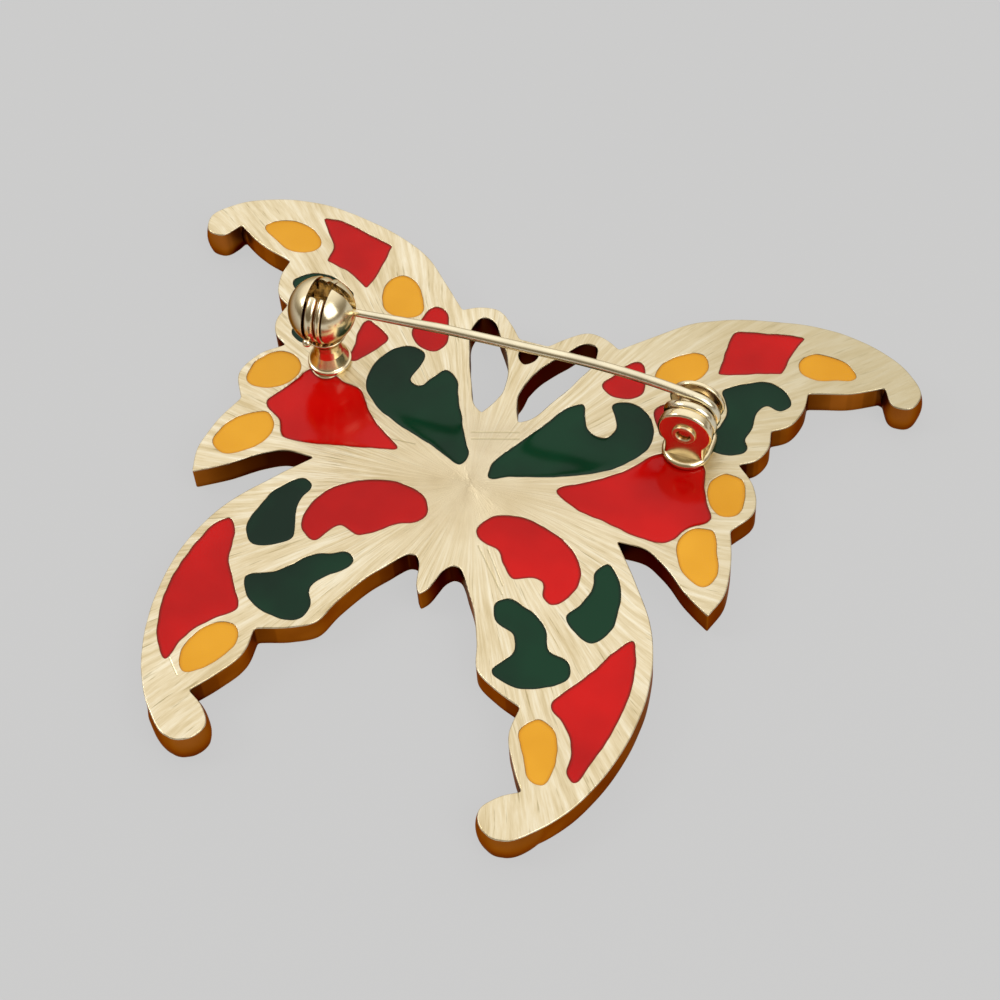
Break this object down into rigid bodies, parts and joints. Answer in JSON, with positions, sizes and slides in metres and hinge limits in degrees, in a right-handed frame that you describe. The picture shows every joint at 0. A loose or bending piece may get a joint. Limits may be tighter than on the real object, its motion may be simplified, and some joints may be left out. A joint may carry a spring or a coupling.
{
  "type": "brooch",
  "caption": "Butterfly brooch in a gold-coloured openwork plate with red, green and yellow enamel, a hinged pin and a turning ball-shaped safety catch.",
  "frame": {"origin": "centre of the footprint, in the plane that the domes and the body on the front rest on", "axes": "+X along the wing span towards the hinge, +Y towards the butterfly's head, +Z out of the back, towards the pin"},
  "size_m": [0.0596, 0.0502, 0.0112],
  "materials": {
    "cast_gold": "gold plated casting, brushed back",
    "polished_gold": "gold plated, polished",
    "pin_wire": "hard wire, gold plated",
    "red_enamel": "glossy soft enamel",
    "green_enamel": "glossy soft enamel",
    "yellow_enamel": "glossy soft enamel"
  },
  "bodies": {
    "brooch": {"wing_plate": "cast_gold", "enamel_yellow_wingtip_right": "yellow_enamel", "enamel_yellow_wingtip_left": "yellow_enamel", "enamel_red_upper_edge_right": "red_enamel", "enamel_red_upper_edge_left": "red_enamel", "enamel_yellow_upper_inner_right": "yellow_enamel", "enamel_yellow_upper_inner_left": "yellow_enamel", "enamel_red_head_side_right": "red_enamel", "enamel_red_head_side_left": "red_enamel", "enamel_green_hook_right": "green_enamel", "enamel_green_hook_left": "green_enamel", "enamel_red_fitting_side_right": "red_enamel", "enamel_red_fitting_side_left": "red_enamel", "enamel_green_forewing_right": "green_enamel", "enamel_green_forewing_left": "green_enamel", "enamel_red_forewing_right": "red_enamel", "enamel_red_forewing_left": "red_enamel", "enamel_yellow_outer_right": "yellow_enamel", "enamel_yellow_outer_left": "yellow_enamel", "enamel_yellow_waist_right": "yellow_enamel", "enamel_yellow_waist_left": "yellow_enamel", "enamel_red_bean_right": "red_enamel", "enamel_red_bean_left": "red_enamel", "enamel_green_leaf_right": "green_enamel", "enamel_green_leaf_left": "green_enamel", "enamel_green_bone_right": "green_enamel", "enamel_green_bone_left": "green_enamel", "enamel_red_hindwing_right": "red_enamel", "enamel_red_hindwing_left": "red_enamel", "enamel_yellow_hindwing_right": "yellow_enamel", "enamel_yellow_hindwing_left": "yellow_enamel", "hinge_bracket": "polished_gold", "hinge_rivet": "polished_gold", "catch_housing": "polished_gold"},
    "pin": {"pin_stem": "pin_wire"},
    "rotor": {"catch_rotor": "polished_gold"}
  },
  "joints": [
    {"name": "pin_swing", "type": "hinge", "parent": "brooch", "child": "pin", "pos_m": [0.01445, 0.01099, 0.006], "axis": [0, 1, 0], "range_deg": [0, 100]},
    {"name": "catch_turn", "type": "hinge", "parent": "brooch", "child": "rotor", "pos_m": [-0.0145, 0.00989, 0.0087], "axis": [-1, 0, 0], "range_deg": [0, 75]}
  ]
}
